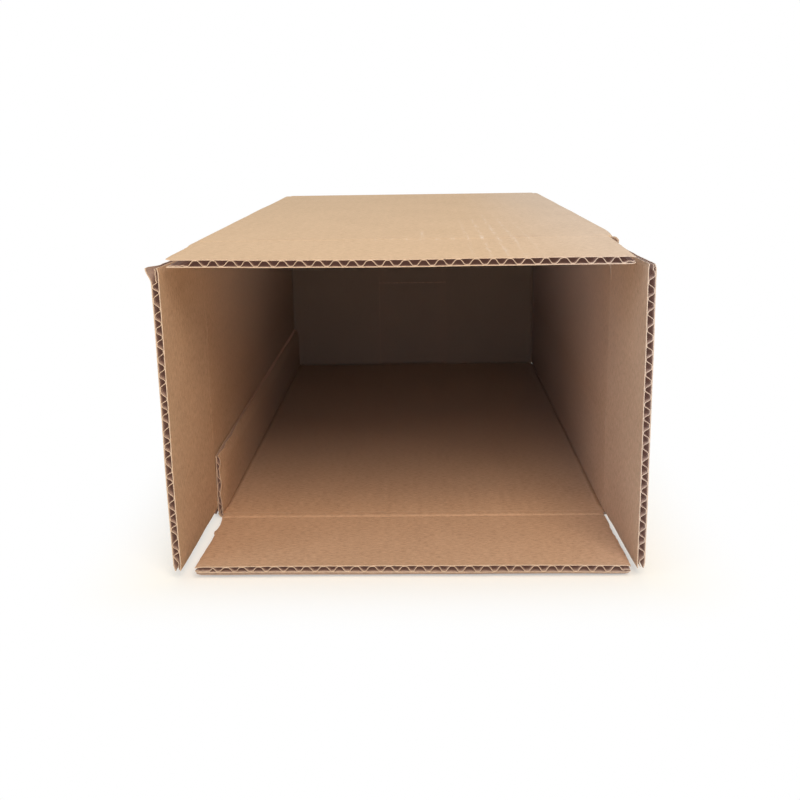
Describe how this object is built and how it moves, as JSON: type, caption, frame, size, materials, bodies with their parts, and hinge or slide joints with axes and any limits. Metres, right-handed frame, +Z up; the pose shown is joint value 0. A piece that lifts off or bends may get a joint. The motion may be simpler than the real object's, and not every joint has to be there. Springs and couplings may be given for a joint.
{
  "type": "monitor shipping box",
  "caption": "Slotted shipping carton of corrugated board lying on a wide panel, rear end folded shut and taped, front end open with hinged flaps.",
  "frame": {"origin": "middle of the whole footprint at rest, open flaps included, on the surface that the lower panel lies on", "axes": "+Z up, -Y out of the open front end, +Y towards the taped rear end, +X to the right seen from the open end"},
  "size_m": [0.3406, 0.713, 0.232],
  "materials": {
    "kraft_board": "matt unbleached kraft facings on fluted board, with light cut edges",
    "parcel_tape": "glossy brown polypropylene parcel tape"
  },
  "bodies": {
    "carton": {"box_body": "kraft_board", "rear_tape": "parcel_tape"},
    "top_flap": {"flap_top": "kraft_board"},
    "bottom_flap": {"flap_bottom": "kraft_board"},
    "left_flap": {"flap_left": "kraft_board"},
    "right_flap": {"flap_right": "kraft_board"}
  },
  "joints": [
    {"name": "top_flap_score", "type": "hinge", "parent": "carton", "child": "top_flap", "pos_m": [-0.00062, -0.24373, 0.229], "axis": [1, 0, 0], "range_deg": [-90.9, 89.1]},
    {"name": "bottom_flap_score", "type": "hinge", "parent": "carton", "child": "bottom_flap", "pos_m": [0.00383, -0.24373, 0.003], "axis": [-1, 0, 0], "range_deg": [-1.8, 88.2]},
    {"name": "left_flap_score", "type": "hinge", "parent": "carton", "child": "left_flap", "pos_m": [-0.16227, -0.23743, 0.11688], "axis": [0, 0, 1], "range_deg": [-87.6, 92.4]},
    {"name": "right_flap_score", "type": "hinge", "parent": "carton", "child": "right_flap", "pos_m": [0.16373, -0.23743, 0.11688], "axis": [0, 0, -1], "range_deg": [-88.3, 91.7]}
  ]
}
